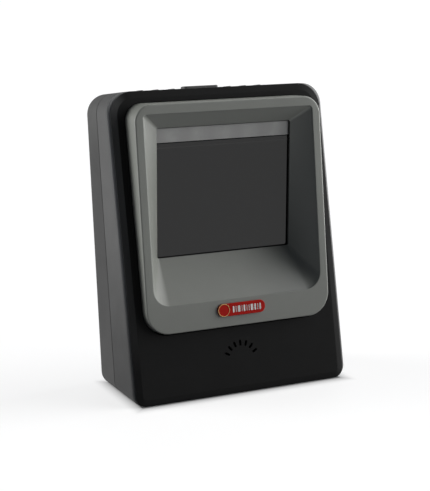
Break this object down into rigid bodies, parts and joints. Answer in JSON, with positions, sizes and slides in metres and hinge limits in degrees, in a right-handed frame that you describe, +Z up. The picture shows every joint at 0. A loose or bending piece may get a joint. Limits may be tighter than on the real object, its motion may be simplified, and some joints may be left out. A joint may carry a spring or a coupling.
{
  "type": "presentation barcode scanner",
  "caption": "Upright hands-free barcode scanner: leaning black front panel, grey funnel bezel round a smoked window, grey rear shells, sound slots and a push key on top.",
  "frame": {"origin": "centre of the bounding box's bottom, on the counter the rubber feet stand on", "axes": "+Z up along the height, -Y the way the window faces, +X to the right seen from the front"},
  "size_m": [0.1204, 0.064, 0.1512],
  "materials": {
    "case_grey": "fine moulded texture",
    "housing_grey": "satin moulded",
    "panel_black": "satin moulded",
    "bezel_grey": "satin moulded",
    "smoked_pane": "polished dark acrylic",
    "diffuser_white": "frosted",
    "black_rubber": "matte",
    "black_plastic": "matte moulded",
    "circuit_green": "solder mask",
    "chip_black": "moulded epoxy",
    "tinned_steel": "tinned sheet",
    "zinc_steel": "zinc plated",
    "lens_glass": "coated glass",
    "led_yellow": "clear resin over phosphor",
    "paper_cone": "coated paper",
    "foam_grey": "closed-cell foam",
    "cable_white": "smooth film",
    "cable_jacket": "satin jacket",
    "badge_red": "gloss enamel"
  },
  "bodies": {
    "case": {"aiming_led_left": "led_yellow", "aiming_led_right": "led_yellow", "badge_plate": "badge_red", "ballast_plate": "zinc_steel", "board_screw_1": "zinc_steel", "board_screw_2": "zinc_steel", "cable_socket_imager": "cable_white", "cable_socket_main": "cable_white", "case_screw_1": "zinc_steel", "case_screw_2": "zinc_steel", "case_screw_3": "zinc_steel", "case_screw_4": "zinc_steel", "chassis_screw_1": "zinc_steel", "chassis_screw_2": "zinc_steel", "foot_1": "black_rubber", "foot_2": "black_rubber", "foot_3": "black_rubber", "foot_4": "black_rubber", "front_panel": "panel_black", "image_sensor": "chip_black", "imager_board": "circuit_green", "imager_flat_cable": "cable_white", "imager_screw_1": "zinc_steel", "imager_screw_2": "zinc_steel", "interface_jack": "black_plastic", "key_board": "circuit_green", "key_board_screw_1": "zinc_steel", "key_board_screw_2": "zinc_steel", "key_lead": "cable_jacket", "key_switch_body": "tinned_steel", "lens_barrel": "black_plastic", "lens_front": "lens_glass", "lens_holder": "black_plastic", "light_baffle": "black_plastic", "light_board": "circuit_green", "light_diffuser": "diffuser_white", "light_led_1": "led_yellow", "light_led_2": "led_yellow", "light_led_3": "led_yellow", "light_led_4": "led_yellow", "light_led_5": "led_yellow", "main_board": "circuit_green", "memory_chip": "chip_black", "middle_housing": "housing_grey", "optical_chassis": "black_plastic", "power_capacitor": "tinned_steel", "processor_shield": "tinned_steel", "rear_cover": "case_grey", "speaker_cone": "paper_cone", "speaker_foam_ring": "foam_grey", "speaker_frame": "tinned_steel", "speaker_lead": "cable_jacket", "speaker_magnet": "zinc_steel", "window_bezel": "bezel_grey", "window_gasket": "black_rubber", "window_pane": "smoked_pane"},
    "key": {"top_key": "case_grey", "key_switch_stem": "black_plastic"}
  },
  "joints": [
    {"name": "key_press", "type": "slide", "parent": "case", "child": "key", "axis": [0, -0.1444, -0.9895], "range_m": [0, 0.0004], "stiffness_N_per_m": 2500, "springref_m": -0.0002}
  ]
}
